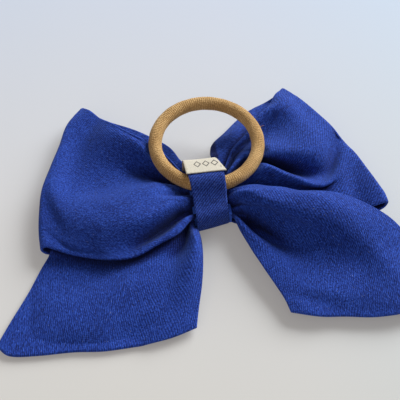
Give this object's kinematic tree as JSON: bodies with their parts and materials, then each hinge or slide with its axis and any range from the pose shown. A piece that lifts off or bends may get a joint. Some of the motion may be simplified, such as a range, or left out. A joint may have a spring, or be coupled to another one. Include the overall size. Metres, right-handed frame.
{
  "type": "hair bow",
  "caption": "Fabric hair bow with two hollow loops and two angled tails, gathered in a centre wrap that traps a round knit elastic hair tie at the back.",
  "frame": {"origin": "centre of the knot on the plane the front of the bow rests on", "axes": "+Z out of the back of the bow, the side the hair tie sits on; +Y towards the top edges of the loops; +X right seen from behind"},
  "size_m": [0.1714, 0.1235, 0.0186],
  "materials": {
    "blue_cloth": "matte cotton twill",
    "blue_thread": "matte thread",
    "cream_thread": "matte thread",
    "label_tape": "matte woven cotton tape",
    "tan_knit": "matte knit sheath",
    "rubber_core": "matte",
    "hot_melt_glue": "cloudy"
  },
  "bodies": {
    "left_loop": {"left_loop_outer_ply": "blue_cloth", "left_loop_inner_ply": "blue_cloth", "left_tail_root_back_ply": "blue_cloth", "left_tail_root_front_ply": "blue_cloth"},
    "right_loop": {"right_loop_outer_ply": "blue_cloth", "right_loop_inner_ply": "blue_cloth"},
    "left_tail": {"left_tail_end_back_ply": "blue_cloth", "left_tail_end_front_ply": "blue_cloth"},
    "right_tail": {"right_tail_back_ply": "blue_cloth", "right_tail_front_ply": "blue_cloth"},
    "knot": {"knot_front_layer": "blue_cloth", "knot_middle_layer": "blue_cloth", "knot_back_layer": "blue_cloth", "gathering_thread": "blue_thread", "gathering_thread_knot": "blue_thread", "centre_wrap": "blue_cloth", "glue_pad": "hot_melt_glue", "fabric_label": "label_tape", "label_stitches": "cream_thread"},
    "tie_core": {"hair_tie_core": "rubber_core"},
    "tie_sheath": {"hair_tie_sheath": "tan_knit", "hair_tie_join": "tan_knit"}
  },
  "joints": [
    {"name": "hair_tie_swing", "type": "hinge", "parent": "knot", "child": "tie_core", "pos_m": [0, 0.00256, 0.01149], "axis": [1, 0, 0], "range_deg": [0, 135]},
    {"name": "hair_tie_feed", "type": "hinge", "parent": "tie_core", "child": "tie_sheath", "pos_m": [0.00155, 0.0226, 0.0136], "axis": [0, -0.1045, 0.9945], "continuous": true},
    {"name": "left_loop_flex", "type": "hinge", "parent": "knot", "child": "left_loop", "pos_m": [-0.0084, 0, 0.003], "axis": [0, 1, 0], "range_deg": [-25, 0], "stiffness_Nm_per_rad": 0.02},
    {"name": "right_loop_flex", "type": "hinge", "parent": "knot", "child": "right_loop", "pos_m": [0.0084, 0, 0.003], "axis": [0, 1, 0], "range_deg": [0, 25], "stiffness_Nm_per_rad": 0.02},
    {"name": "left_tail_flop", "type": "hinge", "parent": "left_loop", "child": "left_tail", "pos_m": [0, -0.031, 0.0056], "axis": [1, 0, 0], "range_deg": [-75, 75], "stiffness_Nm_per_rad": 0.005},
    {"name": "right_tail_flop", "type": "hinge", "parent": "knot", "child": "right_tail", "pos_m": [0.009, 0, 0.0086], "axis": [0, 1, 0], "range_deg": [-70, 0], "stiffness_Nm_per_rad": 0.005}
  ]
}
